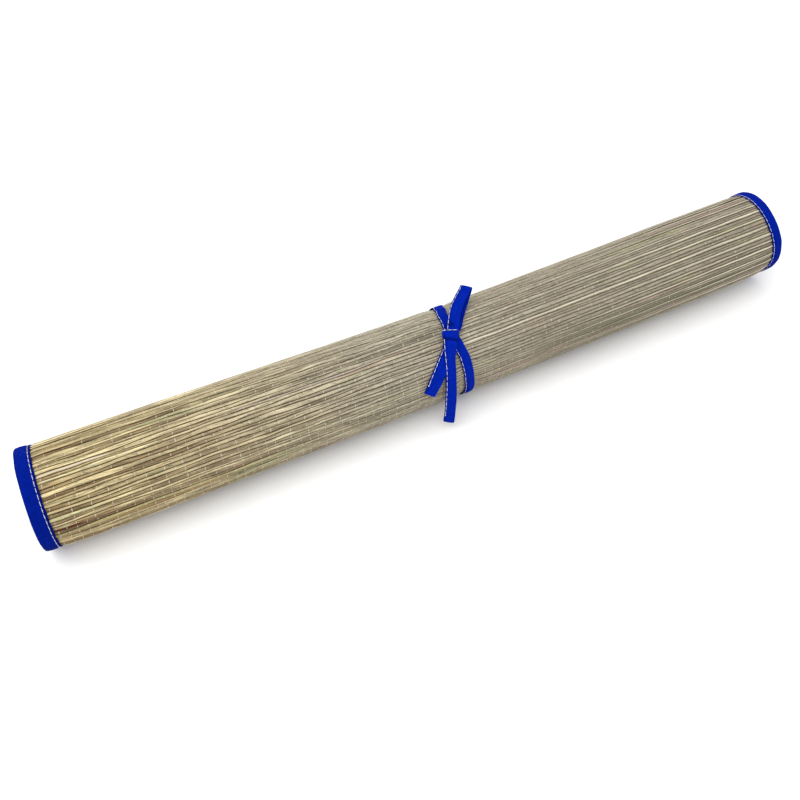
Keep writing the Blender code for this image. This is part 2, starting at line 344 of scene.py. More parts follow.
LOOP_FOOT = Stop(-0.0006, 69.0, 0.0362, 0)
LOOP_TIP = Stop(0.0278, 106.9, 0.0461, 0)
LOOP_TIP_SIDE = Vector((0.626, -0.783, 0.0))
LOOP_WIDTH = 0.0090
LOOP_TWIST = 28.0

# How far the loop's two layers lie to the side, from the knot to the tip
LOOP_FRONT = (
    (0.0, 0.0012), (0.17, 0.0001), (0.40, -0.0016), (0.58, -0.0020), (0.77, -0.0017), (1.0, -0.0010),
)
LOOP_BACK = (
    (0.0, 0.0008), (0.17, 0.0020), (0.40, 0.0001), (0.58, -0.0004), (0.77, -0.0006), (1.0, -0.0010),
)

# How much wider than the band the tape of the free ends shows, from the knot to the tip
LONG_FLARE = ((0.0, 1.32), (0.10, 1.30), (0.20, 1.08), (0.30, 1.02), (1.0, 1.0))
SHORT_FLARE = ((0.0, 1.10), (0.45, 1.20), (0.75, 1.24), (1.0, 1.12))
PLAIN = ((0.0, 1.0), (1.0, 1.0))

# How much further out the rows of sewing lie on the long end, and further in at the loop's tip
LONG_ROW = ((0.0, 1.66), (0.06, 1.56), (0.14, 1.28), (0.24, 1.08), (0.34, 1.0), (1.0, 1.0))
LOOP_ROW = ((0.0, 1.0), (0.45, 0.82), (0.62, 0.84), (0.82, 1.0), (1.0, 1.0))

# The threads' twist, in radians for each metre and across, and the pitch of the cotton's weave
THREAD_TWIST = 9000.0
THREAD_SLANT = 6.28
WEAVE_PITCH = 0.00042

# The camera, at the photograph's angle
CAMERA_PLACE = (-0.2278, -0.38035, 0.4955)
CAMERA_AZIMUTH = 26.91
CAMERA_DOWN = 49.61
CAMERA_LENS = 38.233
SENSOR_WIDTH = 36.0
CLIP_START = 0.01

# The floor and the lights
FLOOR_SIZE = 8.0
LIGHT_SIZE = 2.2
KEY_PLACE = (-0.55, -0.05, 1.5)
FRONT_PLACE = (-0.25, -1.35, 0.85)


# Shares, waves and points


def between(value, start, end):
    """How far a value has come from start to end, kept from 0 to 1."""
    return np.clip((value - start) / (end - start), 0.0, 1.0)


def eased(share):
    """A share from 0 to 1 that starts and ends softly."""
    return share * share * (3.0 - 2.0 * share)


def inside(places, start, end, fade):
    """Over 1 well inside a stretch, under 0 well outside it and 0.5 at its ends."""
    return np.minimum(places - start, end - places) / fade + 0.5


def squared_off(value, power):
    """A number from -1 to 1 pushed outward, which squares a round section off."""
    return np.sign(value) * np.abs(value) ** power


def bump_at(places, place, length):
    """A soft bump that is 1 at its place and fades over its length to both sides."""
    return np.exp(-(((places - place) / length) ** 2))


def spread_along(table, share):
    """The value between the rows of a table of shares, or places, and values."""
    return np.interp(share, *zip(*table))


def ripple(chance, places, longest, amount):
    """A soft random wave: three sines, each about half as long and as high as the one before."""
    halvings = (1, 2, 4)
    wave = np.zeros_like(places)
    for halving in halvings:
        length = longest / halving * chance.uniform(0.8, 1.25)
        turn = chance.uniform(0.0, math.tau)
        wave += np.sin(math.tau * places / length + turn) / halving
    return wave * amount / sum(1.0 / halving for halving in halvings)


def draws(chance, low, high, count):
    return np.array([chance.uniform(low, high) for _ in range(count)])


def columns(*values):
    """Points or directions from their separate coordinates."""
    return np.stack(values, axis=-1)


# Placing on the roll


def outward(angles):
    """The direction from the roll's middle at each angle about it."""
    a = np.radians(angles)
    return columns(np.zeros_like(a), -np.cos(a), np.sin(a))


def waist(along):
    """How far the tie draws the roll in."""
    away = np.hypot(along - TIE_ALONG, WAIST_ROUNDING) - WAIST_ROUNDING
    return WAIST * np.maximum(0.0, 1.0 - away / WAIST_SPAN)


def middle(along):
    """The roll's centre, bowed to the front and sagging where the tie draws it in."""
    bowed = BOW * (1.0 - (2.0 * along / MAT_WIDTH) ** 2)
    return columns(AXIS_ALONG + along, AXIS_SIDE - bowed, AXIS_HEIGHT - waist(along))


def on_outer_turn(angles):
    """The same angles, counted within the outer turn."""
    return (angles - OUTER_TURN_START) % 360.0 + OUTER_TURN_START


def wound_radius(angles):
    """The winding's radius at an angle counted on through its turns, up to END_ANGLE."""
    return END_RADIUS - LAYER * (END_ANGLE - angles) / 360.0


def band_along(angles):
    """Where the band's middle lies along the roll, at each angle about it."""
    angles = on_outer_turn(angles)
    found = np.full_like(angles, TIE_ALONG)
    for low, high in zip(BAND_PATH, BAND_PATH[1:]):
        share = eased(between(angles, low.angle, high.angle))
        here = (angles >= low.angle) & (angles <= high.angle)
        found = np.where(here, low.along + (high.along - low.along) * share, found)
    return found


def askew(along, angles, radius):
    """How far the uneven ends move a point along the roll. It grows towards both ends."""
    share = between(np.abs(along), ENDS_FROM, MAT_WIDTH / 2.0 - BINDING_LEFT)
    far = radius / END_RADIUS
    left = LEFT_SLANT * far * np.cos(np.radians(angles - LEFT_SLANT_ANGLE))
    right = RIGHT_OUT - RIGHT_BEND * far * np.cos(np.radians(2.0 * (angles - RIGHT_BEND_ANGLE)))
    return share * np.where(along > 0.0, right, -left)


def lay_on_roll(along, angles, lift):
    """Places of flat points: along the roll, angle about it, lift above the winding."""
    radius = wound_radius(angles) + lift
    along = along + askew(along, angles, radius)
    pressed = eased(between(np.abs(along - band_along(angles)), GROOVE_REACH, GROOVE_FLAT))
    radius = radius - waist(along) - GROOVE * pressed
    low = np.clip(np.cos(np.radians(angles - END_EASE_ANGLE)), 0.0, 1.0)
    near_end = np.clip((np.abs(along) - END_EASE_FROM) / END_EASE_SPAN, 0.0, 1.1)
    radius = radius - END_EASE * low * near_end**2
    places = middle(along) + outward(angles) * radius[:, None]
    places[:, 2] = np.maximum(places[:, 2], pressed * (BAND_FLOOR + TAPE_THICK + GAP))
    return places


class Ribbon:
    """A line that tape is laid on, with the tape's side and upper directions along it."""

    def __init__(self, centres, sides, ups):
        self.centres = np.array(centres, dtype=float)
        self.sides = np.array(sides, dtype=float)
        self.ups = np.array(ups, dtype=float)
        steps = np.linalg.norm(np.diff(self.centres, axis=0), axis=1)
        self.runs = np.concatenate([[0.0], np.cumsum(steps)])
        self.length = float(self.runs[-1])

    def read(self, run, rows):
        return columns(*(np.interp(run, self.runs, rows[:, k]) for k in range(3)))

    def lay(self, run, side, lift):
        """Places of flat points: run along the ribbon, side across it, lift above it."""
        places = self.read(run, self.centres)
        places += self.read(run, self.sides) * side[:, None]
        return places + self.read(run, self.ups) * lift[:, None]


class RollEdge:
    """Lays sewing round the roll's outer turn, near a bound edge."""

    def __init__(self, along):
        self.along = along
        self.length = math.tau * END_RADIUS

    def lay(self, run, side, lift):
        return lay_on_roll(self.along + side, END_ANGLE - np.degrees(run / END_RADIUS), lift)


# Modelling by hand


def pick(*objects):
    bpy.ops.object.select_all(action="DESELECT")
    for thing in objects:
        thing.select_set(True)
    bpy.context.view_layer.objects.active = objects[0]


def read_points(thing):
    flat = np.empty(len(thing.data.vertices) * 3)
    thing.data.vertices.foreach_get("co", flat)
    return flat.reshape(-1, 3)


def write_points(thing, points):
    thing.data.vertices.foreach_set("co", np.asarray(points, dtype=float).ravel())
    thing.data.update()


def write_number(thing, name, values):
    """A number at each point of a piece, which its material reads by name."""
    layer = thing.data.attributes.new(name, "FLOAT", "POINT")
    layer.data.foreach_set("value", np.asarray(values, dtype=float))


def write_shade(thing, values):
    """How light each point is, from 0 in a gap or fold to 1 in the open."""
    write_number(thing, "shade", np.clip(values, 0.0, 1.0))


def write_stain_and_shade(thing, colour, strength):
    """A colour at each point with its strength, which a reed's material lays over its own."""
    layer = thing.data.attributes.new("stain_and_shade", "FLOAT_COLOR", "POINT")
    layer.data.foreach_set("color", np.concatenate([colour, strength[:, None]], axis=1).ravel())


def write_map(thing, across, up):
    """A UV map from two numbers at each point."""
    layer = thing.data.uv_layers.new(name="flat")
    corners = np.empty(len(thing.data.loops), dtype=int)
    thing.data.loops.foreach_get("vertex_index", corners)
    layer.data.foreach_set("uv", columns(across[corners], up[corners]).ravel())


def copy_of(thing, name):
    twin = thing.copy()
    twin.data = thing.data.copy()
    twin.name = name
    bpy.context.collection.objects.link(twin)
    return twin


def join(name, things):
    pick(*things)
    bpy.ops.object.join()
    whole = bpy.context.object
    whole.name = name
    whole.data.name = name
    return whole


def primitive(name, add, **settings):
    """A primitive mesh with its turn and place taken into its points."""
    bpy.ops.object.select_all(action="DESELECT")
    add(**settings)
    made = bpy.context.object
    made.name = name
    bpy.ops.object.transform_apply(location=True, rotation=True, scale=True)
    return made


def cut_lengths(thing, lengths):
    """Cuts across a piece that lies along x and is in edit mode. The lengths multiply up."""
    bpy.ops.mesh.select_mode(type="EDGE")
    for pieces in lengths:
        build = bmesh.from_edit_mesh(thing.data)
        for edge in build.edges:
            one, two = (v.co for v in edge.verts)
            edge.select_set(abs(one.x - two.x) > 1e-5)
        bmesh.update_edit_mesh(thing.data)
        bpy.ops.mesh.subdivide(number_cuts=pieces - 1)


def rod(name, sides, lengths):
    """A round rod from x = 0 to x = 1, of radius 1, cut into lengths."""
    made = primitive(
        name, bpy.ops.mesh.primitive_cylinder_add, vertices=sides, radius=1.0, depth=1.0,
        location=(0.5, 0.0, 0.0), rotation=(0.0, math.pi / 2.0, 0.0),
    )
    bpy.ops.object.mode_set(mode="EDIT")
    cut_lengths(made, lengths)
    bpy.ops.object.mode_set(mode="OBJECT")
    bpy.ops.object.shade_smooth()
    return made


def repeat(thing, count, step):
    """Copies of a small piece in a row, as one mesh."""
    pick(thing)
    bpy.ops.object.modifier_add(type="ARRAY")
    array = thing.modifiers[-1]
    array.use_relative_offset = False
    array.use_constant_offset = True
    array.constant_offset_displace = step
    array.count = count
    bpy.ops.object.modifier_apply(modifier=array.name)


def finish_piece(thing, material, node):
    """The material, body and replaced solid of a finished piece."""
    thing.data.materials.clear()
    thing.data.materials.append(material)
    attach(thing, "root")
    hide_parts(node)


# Materials


class Shader:
    """A material's node tree, built a node at a time."""

    def __init__(self, name):
        self.material = bpy.data.materials.new(name)
        self.material.use_nodes = True
        self.tree = self.material.node_tree
        self.surface = self.tree.nodes["Principled BSDF"]

    def node(self, kind, inputs=None, **settings):
        made = self.tree.nodes.new("ShaderNode" + kind)
        for name, value in settings.items():
            setattr(made, name, value)
        for name, value in (inputs or {}).items():
            self.feed(made.inputs[name], value)
        return made

    def feed(self, socket, value):
        if isinstance(value, bpy.types.NodeSocket):
            self.tree.links.new(value, socket)
        else:
            socket.default_value = value

    def math(self, operation, *values):
        return self.node("Math", dict(enumerate(values)), operation=operation).outputs[0]

    def plus(self, one, two):
        return self.math("ADD", one, two)

    def minus(self, one, two):
        return self.math("SUBTRACT", one, two)

    def times(self, one, two):
        return self.math("MULTIPLY", one, two)

    def spread(self, value, low, high, new_low, new_high):
        """A number eased from one range to another."""
        inputs = {"From Min": low, "From Max": high, "To Min": new_low, "To Max": new_high}
        inputs["Value"] = value
        return self.node("MapRange", inputs, interpolation_type="SMOOTHSTEP").outputs["Result"]

    def mix(self, share, one, two, blend="MIX"):
        made = self.node("Mix", data_type="RGBA", blend_type=blend)
        self.feed(made.inputs[0], share)
        self.feed(made.inputs[6], one)
        self.feed(made.inputs[7], two)
        return made.outputs[2]

    def ramp(self, value, *stops):
        made = self.node("ValToRGB", {"Fac": value})
        ramp = made.color_ramp
        while len(ramp.elements) < len(stops):
            ramp.elements.new(0.5)
        for element, (place, colour) in zip(ramp.elements, stops):
            element.position = place
            element.color = (*colour, 1.0)
        return made.outputs["Color"]

    def grey(self, value):
        return self.node("CombineColor", {"Red": value, "Green": value, "Blue": value}).outputs[0]

    def vector(self, x, y, z=0.0):
        return self.node("CombineXYZ", {"X": x, "Y": y, "Z": z}).outputs[0]

    def lit(self, colour, factor):
        """A colour made lighter or darker by a factor."""
        return self.mix(1.0, colour, self.grey(factor), "MULTIPLY")

    def noise(self, vector, scale=1.0, detail=2.0):
        return self.node("TexNoise", {"Vector": vector, "Scale": scale, "Detail": detail}).outputs["Fac"]

    def pattern(self, x, y, scale, z=0.0, detail=2.0, drift=None):
        """Noise over two numbers, each times its scale, with the first one shifted by drift."""
        x = self.times(x, scale[0])
        if drift:
            x = self.plus(x, drift)
        return self.noise(self.vector(x, self.times(y, scale[1]), z), detail=detail)

    def chance(self, value):
        """A random number that is the same wherever the value is."""
        return self.node("TexWhiteNoise", {"W": value}, noise_dimensions="1D").outputs["Value"]

    def place(self):
        return self.node("TexCoord").outputs["Object"]

    def attribute(self, name):
        return self.node("Attribute", attribute_name=name)

    def flat_map(self):
        """The two numbers of the piece's own flat map."""
        found = self.node("UVMap", uv_map="flat").outputs["UV"]
        parts = self.node("SeparateXYZ", {"Vector": found})
        return parts.outputs["X"], parts.outputs["Y"]

    def shade(self):
        return self.attribute("shade").outputs["Fac"]

    def finish(self, colour, roughness, specular, bump=None, bump_height=0.0):
        self.feed(self.surface.inputs["Base Color"], colour)
        self.feed(self.surface.inputs["Roughness"], roughness)
        self.surface.inputs["Specular IOR Level"].default_value = specular
        if bump is not None:
            raised = self.node("Bump", {"Height": bump, "Distance": bump_height, "Strength": 1.0})
            self.feed(self.surface.inputs["Normal"], raised.outputs["Normal"])
        return self.material


def reed_material(name):
    """Dry split reed: each has its own tone and hue, with strands, streaks and specks along it, and the
    painted light, painted crest highlight and painted gap shade that its points carry.
    """
    s = Shader(name)
    run, across = s.flat_map()
    number = s.math("FLOOR", across)
    along = s.node("SeparateXYZ", {"Vector": s.place()}).outputs["X"]
    to_right = s.spread(along, -0.18, 0.08, 0.0, 1.0)

    # Tone and hue, with the painted light and shade that its points carry
    patch = s.pattern(run, number, PATCH_SCALE)
    tone_and_shade = s.minus(s.plus(s.times(s.chance(number), 0.34), s.times(patch, 0.90)), 0.62)
    tone_and_shade = s.times(tone_and_shade, s.minus(1.0, s.times(to_right, 0.5)))
    tone_and_shade = s.plus(tone_and_shade, s.attribute("tone_and_shade").outputs["Fac"])
    greying = s.spread(along, -0.31, -0.02, 0.0, 1.0)
    colour = s.mix(greying, s.ramp(tone_and_shade, *STRAW_TONES), s.ramp(tone_and_shade, *GREY_TONES))
    hue = s.pattern(run, number, HUE_SCALE, z=4.0)
    rosy = s.times(s.spread(hue, 0.56, 0.72, 0.0, 0.55), s.spread(to_right, 0.0, 1.0, 1.0, 0.5))
    colour = s.mix(rosy, colour, ROSY)
    colour = s.mix(s.spread(hue, 0.44, 0.28, 0.0, 0.55), colour, GREENISH)

    # Strands at each reed's own slant, finer streaks and short specks
    slant = s.times(s.minus(s.chance(s.plus(number, 0.5)), 0.5), STRAND_SLANT)
    skew = s.plus(s.plus(s.times(run, slant), s.times(number, 12.7)), across)
    strand = s.pattern(run, skew, STRAND_SCALE, detail=1.0)
    strong = s.grey(s.spread(strand, 0.32, 0.68, *STRONG_STRANDS))
    calm = s.grey(s.spread(strand, 0.30, 0.70, *CALM_STRANDS))
    colour = s.mix(1.0, colour, s.mix(to_right, strong, calm), "MULTIPLY")
    streak = s.pattern(run, skew, STREAK_SCALE, detail=4.0, drift=s.times(across, 1.4))
    colour = s.lit(colour, s.spread(streak, 0.28, 0.72, *STREAKS))
    speck = s.pattern(run, across, SPECK_SCALE, detail=1.0, drift=s.times(across, 2.2))
    colour = s.lit(colour, s.spread(speck, 0.56, 0.70, *SPECKS))

    # Odd reeds with the painted shade of low front rows, the painted highlight on the crests and painted
    # shade in the gaps between the reeds
    stain_and_shade = s.attribute("stain_and_shade")
    colour = s.mix(stain_and_shade.outputs["Alpha"], colour, stain_and_shade.outputs["Color"])
    beside = s.math("ABSOLUTE", s.minus(s.math("FRACT", across), CREST_HIGHLIGHT_PLACE))
    crest = s.times(s.spread(beside, *CREST_HIGHLIGHT_EDGES, 1.0, 0.0), s.spread(strand, 0.28, 0.60, 0.70, 1.0))
    colour = s.mix(s.times(crest, s.attribute("crest").outputs["Fac"]), colour, PAINTED_CREST_HIGHLIGHT)
    gap_shade = s.mix(to_right, STRAW_GAP_SHADE, GREY_GAP_SHADE)
    side = s.mix(s.spread(s.shade(), 0.05, 0.70, 0.0, 1.0), gap_shade, WHITE)
    colour = s.mix(1.0, colour, side, "MULTIPLY")
    return s.finish(colour, s.spread(streak, 0.2, 0.8, 0.68, 0.50), 0.18, streak, 0.00025)


def thread_material(name, colour):
    """Twisted thread, with slanting plies, painted shade between them and the painted shade of its
    points.
    """
    s = Shader(name)
    run, across = s.flat_map()
    twist = s.math("SINE", s.plus(s.times(run, THREAD_TWIST), s.times(across, THREAD_SLANT)))
    shade = s.times(s.spread(s.shade(), 0.0, 1.0, 0.45, 1.0), s.spread(twist, -1.0, 1.0, 0.86, 1.0))
    return s.finish(s.lit((*colour, 1.0), shade), 0.75, 0.25, twist, 0.00004)


def cotton_material(name, blue):
    """Plain-weave cotton, a little mottled, and darker with painted shade in its folds."""
    s = Shader(name)
    warp, weft = (s.math("SINE", s.times(way, math.tau / WEAVE_PITCH)) for way in s.flat_map())
    weave = s.times(warp, weft)
    mottle = s.noise(s.place(), 420.0, 3.0)
    painted_shade_blue = (*[c * 0.42 for c in blue], 1.0)
    colour = s.mix(s.spread(s.shade(), 0.0, 1.0, 0.0, 1.0), painted_shade_blue, (*blue, 1.0))
    light = s.times(s.spread(mottle, 0.3, 0.7, 0.86, 1.10), s.spread(weave, -1.0, 1.0, 0.93, 1.04))
    return s.finish(s.lit(colour, light), 0.95, 0.02, weave, 0.00003)


def floor_material(name, colour):
    """A plain pale floor with a very faint mottle."""
    s = Shader(name)
    mottle = s.spread(s.noise(s.place(), 30.0, 3.0), 0.3, 0.7, 0.985, 1.0)
    return s.finish(s.lit((*colour, 1.0), mottle), 0.9, 0.1)


def material_named(name, make, *settings):
    """The material of that name, made the first time it is asked for."""
    return bpy.data.materials.get(name) or make(name, *settings)


def dry_reed():
    return material_named("dry_reed", reed_material)


def blue_cotton(context):
    return material_named("blue_cotton_cloth", cotton_material, context.scene.reed_mat_cloth.blue)


def white_sewing(context):
    return material_named("white_sewing", thread_material, context.scene.reed_mat_cloth.sewing_colour)


# The tie's tape


def smooth_value(before, start, end, after, t):
    """A number on the smooth curve from start to end that also suits its neighbours."""
    slope = end - before
    bend = 2 * before - 5 * start + 4 * end - after
    swing = 3 * start - before - 3 * end + after
    return start + 0.5 * (slope * t + bend * t**2 + swing * t**3)


def place_of(stop):
    """The middle of the tape at a stop."""
    return middle(stop.along) + outward(stop.angle) * stop.radius


def tail_ribbon(stops, steps, tucked):
    """The line of a free end of tape. tucked is how far it reaches back into the knot."""
    rows = [(*place_of(s), s.angle, s.twist) for s in stops]
    rows = [rows[0], *rows, rows[-1]]
    found = []
    for four in zip(rows, rows[1:], rows[2:], rows[3:]):
        for k in range(steps):
            found.append([smooth_value(*values, k / steps) for values in zip(*four)])
    found.append(rows[-1])
    back = Vector(found[0][:3]) - Vector(found[1][:3])
    start = Vector(found[0][:3]) + back.normalized() * tucked
    found.insert(0, [*start, *found[0][3:]])
    centres = [Vector(row[:3]) for row in found]
    sides = []
    ups = []
    for i, (*_, angle, twist) in enumerate(found):
        run = (centres[min(i + 1, len(found) - 1)] - centres[max(i - 1, 0)]).normalized()
        out = Vector(outward(angle))
        out = (out - run * out.dot(run)).normalized()
        out = Matrix.Rotation(math.radians(twist), 3, run) @ out
        sides.append(out.cross(run))
        ups.append(out)
    return Ribbon(centres, sides, ups)


def long_ribbon():
    return tail_ribbon(LONG_TAIL, TAIL_STEPS, LONG_TUCK)


def short_ribbon():
    return tail_ribbon(SHORT_TAIL, TAIL_STEPS, SHORT_TUCK)


def tape(name, ribbon, lengths, stitched_side, width, flare, seed, crease=0.0, under_knot=False, floor_shade=0.0):
    """Folded tape on a ribbon: a doubled edge with a sewn dip on one side, a fold on the other.
    crease is how deep its middle is pinched where its far end goes into the knot, with painted shade in
    that fold, under_knot says that it comes out from under the knot, where it gets painted shade, and
    floor_shade is how much painted shade it takes near the floor."""
    made = rod(name, 16, lengths)
    share, y, z = read_points(made).T
    side = squared_off(y, TAPE_SIDE_POWER)
    face = squared_off(z, TAPE_FACE_POWER)
    sewn = side * stitched_side
    run = share * ribbon.length
    to_go = ribbon.length - run
    chance = random.Random(seed)
    flutter = ripple(chance, run, *TAPE_FLUTTER) * between(np.abs(side), 0.55, 1.0)
    swell = (1.0 + ripple(chance, run, *TAPE_SWELL)) * spread_along(flare, share)
    dip = bump_at(sewn, TAPE_DIP_PLACE, TAPE_DIP_WIDE)
    across = (side - np.where(sewn > 0.985, 0.05, 0.0) * np.sign(side)) * width / 2.0 * swell
    curl = (TAPE_CURL - crease * bump_at(to_go, 0.0, CREASE_LENGTH)) * (1.0 - side**2)
    thick = face * (1.0 - TAPE_DIP * dip * np.sign(face)) * TAPE_THICK / 2.0
    places = ribbon.lay(run, across, thick + curl + flutter)
    # Painted shade on the tape's thin sides, in its sewn dip and along its sewn edge
    shade = 1.0 - 0.55 * (np.abs(z) < 0.35) - 0.35 * dip - 0.9 * between(sewn, 0.80, 0.95)
    if under_knot:
        shade = shade - 0.9 * bump_at(run, UNDER_KNOT, UNDER_KNOT_LENGTH)
    if crease:
        fold = bump_at(to_go, CREASE_SHADE_AT, CREASE_SHADE_LENGTH) * bump_at(sewn, 0.45, 0.40)
        shade = shade - 2.0 * fold
    write_points(made, places)
    write_shade(made, shade - floor_shade * between(places[:, 2], *FLOOR_SHADE_HEIGHTS))
    write_map(made, run, across)
    return made


def stitches(name, ribbon, side, lift, start, end, pitch, thick, seed, flare=PLAIN, knotted=False):
    """A row of sewing along a ribbon, each stitch a little uneven, the last one a knot if knotted."""
    made = primitive(
        name, bpy.ops.mesh.primitive_uv_sphere_add, segments=6, ring_count=6, radius=0.5,
        rotation=(0.0, math.pi / 2.0, 0.0),
    )
    bpy.ops.object.shade_smooth()
    each = len(made.data.vertices)
    count = max(1, round((end - start) / pitch))
    pitch = (end - start) / count
    apart = 4.0
    repeat(made, count, (apart, 0.0, 0.0))
    x, y, z = read_points(made).T
    number = np.arange(len(x)) // each
    x = x - number * apart
    chance = random.Random(seed)
    lean = draws(chance, *STITCH_LEAN, count)[number]
    shift = draws(chance, -STITCH_SHIFT, STITCH_SHIFT, count)[number]
    size = draws(chance, *STITCH_SIZE, count)[number]
    last = (number == count - 1) & knotted
    stout = np.where(last, END_KNOT_STOUT, 1.0) * thick
    size = np.where(last, END_KNOT_LONG, size)
    blunt = squared_off(x * 2.0, 0.8) / 2.0
    run = start + (number + np.where(last, 0.1, 0.5) + shift) * pitch + blunt * pitch * STITCH_FILL * size
    across = side * spread_along(flare, run / ribbon.length) + (lean * blunt + shift) * thick * 3.0
    raised = lift - blunt**2 * thick * 0.6
    write_points(made, ribbon.lay(run, across + y * stout, raised + z * stout * 0.8))
    # Painted shade: each stitch is darker towards its ends, where it goes into the cloth
    write_shade(made, 1.0 - 2.4 * blunt**2 * (0.4 + 5.0 * np.abs(shift)))
    write_map(made, run, y)
    return made


# The mat's outer turn


def reed_edges():
    """Angles of the grooves between the reeds, over the outer turn."""
    widths = 1.0 + draws(random.Random(REED_SEED), -REED_UNEVEN, REED_UNEVEN, REEDS)
    return OUTER_TURN_START + 360.0 / sum(widths) * np.concatenate([[0.0], np.cumsum(widths)])


def reed_ribs():
    """How high each reed stands in the ribs that a few reeds make together, from -1 to 1."""
    chance = random.Random(RIB_SEED)
    ribs = []
    while len(ribs) < REEDS:
        size = chance.randint(*RIB_REEDS)
        strength = chance.uniform(*RIB_STRENGTH)
        ribs += [strength * math.cos(math.tau * k / size) for k in range(size)]
    return ribs[:REEDS]


def rib_share(along):
    """How strongly the ribs stand out: most at the sewn ends, least at the tie."""
    return RIB_LEAST + (1.0 - RIB_LEAST) * between(np.abs(along), *RIB_SPAN) ** 2


def wandering(along):
    """How much of their wandering the reeds keep: they are straighter to the right."""
    return 1.0 - STRAIGHTENING * between(along, *STRAIGHTENING_SPAN)


class Reed:
    """One reed of the outer turn. Its sides wander, its crest swells and its ridge shifts."""

    def __init__(self, number, edges):
        self.number = number
        self.edges = edges
        self.low = random.Random(LOW_SEED + number).uniform(*REED_LOW)
        self.rib = reed_ribs()[number]

    def boundary(self, number, along):
        if number in (0, REEDS):
            return np.full_like(along, self.edges[number])
        wander = REED_WANDER * 360.0 / REEDS * wandering(along)
        chance = random.Random(WANDER_SEED + number)
        return self.edges[number] + ripple(chance, along, REED_WANDER_LENGTH, wander)

    def lay(self, along, y, z, raised=0.0):
        """Places of points given along the reed and round its section, a circle of radius 1."""
        below = self.boundary(self.number, along)
        above = self.boundary(self.number + 1, along)
        chance = random.Random(RIDGE_SEED + self.number)
        ridge = ripple(chance, along, REED_RIDGE_LENGTH, REED_RIDGE * wandering(along))
        swell = ripple(chance, along, *REED_SWELL)
        side = y + ridge * (1.0 - y**2)
        angles = (below + above) / 2.0 + side * (above - below) / 2.0 * REED_FILL
        to_end = np.minimum(along - REED_START, REED_END - along)
        crest = np.minimum(0.0, swell - self.low) - REED_PINCH * bump_at(to_end, 0.0, REED_PINCH_LENGTH)
        crest = crest - RIB_DEPTH * rib_share(along) * (1.0 - self.rib) / 2.0
        depth = np.where(z > 0.0, REED_DROP * (1.0 - z), REED_DROP - (REED_THICK - REED_DROP) * z)
        return lay_on_roll(along, angles, crest - depth + raised)


def odd_colour_and_shade(number, along, y):
    """The colour of an odd reed, and the painted shade listed for low front rows, with how strongly each
    of its points has it.
    """
    colour = np.zeros((len(along), 3))
    strength = np.zeros(len(along))
    for odd in ODD_AND_SHADED_REEDS:
        if odd.reed == number:
            share = np.clip(inside(along, odd.start, odd.end, 0.008), 0.0, 1.0) * odd.strength
            share = share * between(np.abs(y), odd.width + 0.2, odd.width)
            colour = np.where((share > strength)[:, None], odd.colour, colour)
            strength = np.maximum(strength, share)
    return colour, strength


def colour_reed(reed, one, along, y, z):
    """The painted shade, the tone with its painted light and shade, the stain with the painted shade of
    low front rows, and the painted highlight of the crest line at each point of a reed, for its material.
    """
    angle = one.edges[one.number]
    risen = max(0.0, one.rib)
    low = between(angle, *LOW_ANGLES) * between(along, *LOW_SPAN)
    # Painted shade: dark in the gaps between the reeds, under raised reeds to the right and in the low
    # valleys there
    underside_shade = UNDERSIDE_PAINTED_SHADE * between(-y, *UNDERSIDE) * between(along, *RIGHT_SPAN)
    valley_shade = LOW_VALLEY_PAINTED_SHADE * low * max(0.0, 0.3 - one.rib)
    write_shade(reed, np.maximum(z, 0.0) * (1.0 - underside_shade * risen) * (1.0 - valley_shade))
    to_left = between(-along, 0.0, MAT_WIDTH / 2.0)
    # Painted light on the rib crests and painted shade in their valleys
    right_rib_light = RIB_PAINTED_LIGHT * (1.0 + LOW_RIB_PAINTED_LIGHT * low) * rib_share(along)
    tone_and_shade = 0.5 + np.where(along < 0.0, LEFT_RIB_PAINTED_LIGHT * to_left**0.6, right_rib_light) * one.rib
    # PAINTED_SHADE_ROUND paints shade on the low rows and light on the top ones
    tone_and_shade = tone_and_shade + spread_along(TONE_ALONG, along) + spread_along(PAINTED_SHADE_ROUND, angle)
    own = OWN_TONE * random.Random(TONE_SEED + one.number).uniform(-1.0, 1.0)
    write_number(reed, "tone_and_shade", tone_and_shade + own * to_left**1.3)
    write_stain_and_shade(reed, *odd_colour_and_shade(one.number, along, y))
    # Painted highlight: a thin pale line on the crests of raised reeds to the right, and on PALE_REED
    # from the tie on
    crest = CREST_HIGHLIGHT_STRENGTH * between(along, *RIGHT_SPAN) * risen * (one.rib > HIGHLIGHT_LEAST_RIB)
    if one.number == PALE_REED:
        crest = np.clip(inside(along, *PALE_SPAN, PALE_FADE), 0.5 * crest, PALE_HIGHLIGHT_STRENGTH)
    write_number(reed, "crest", crest)


def make_reeds(name, numbers, edges):
    """The reeds of one part of the outer turn, one by one, as one mesh."""
    base = rod("reed", 10, (11, 12))
    share, y, z = read_points(base).T
    along = REED_START + (REED_END - REED_START) * share
    made = []
    for number in numbers:
        reed = copy_of(base, "reed_%d" % number)
        one = Reed(number, edges)
        write_points(reed, one.lay(along, y, z))
        colour_reed(reed, one, along, y, z)
        write_map(reed, along, number + 0.5 + y * 0.48)
        made.append(reed)
    bpy.data.objects.remove(base)
    return join(name, made)


